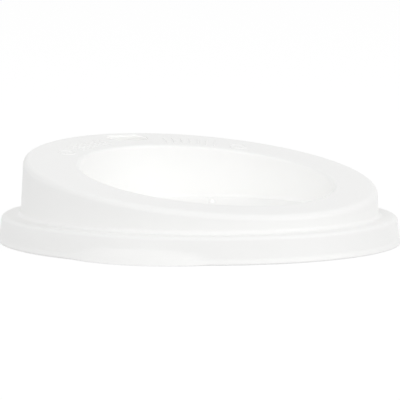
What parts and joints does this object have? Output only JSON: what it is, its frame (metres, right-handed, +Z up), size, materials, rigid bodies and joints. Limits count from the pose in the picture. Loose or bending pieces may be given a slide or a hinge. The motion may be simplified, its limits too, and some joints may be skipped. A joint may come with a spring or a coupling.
{
  "type": "coffee cup lid",
  "caption": "One-piece takeaway coffee cup lid with a skirt that clips over the cup's rim, thumb tab, slanted drinking ring, drinking hole and sunken dish",
  "frame": {"origin": "the middle of the circle that the skirt's lower edge stands on", "axes": "+Z up along the cup's axis, -Y towards the high drinking side, +Y towards the low side"},
  "size_m": [0.093, 0.093, 0.0219],
  "materials": {
    "lid_plastic": "satin white moulded polypropylene"
  },
  "bodies": {
    "root": {"cup_lid": "lid_plastic"}
  },
  "joints": []
}
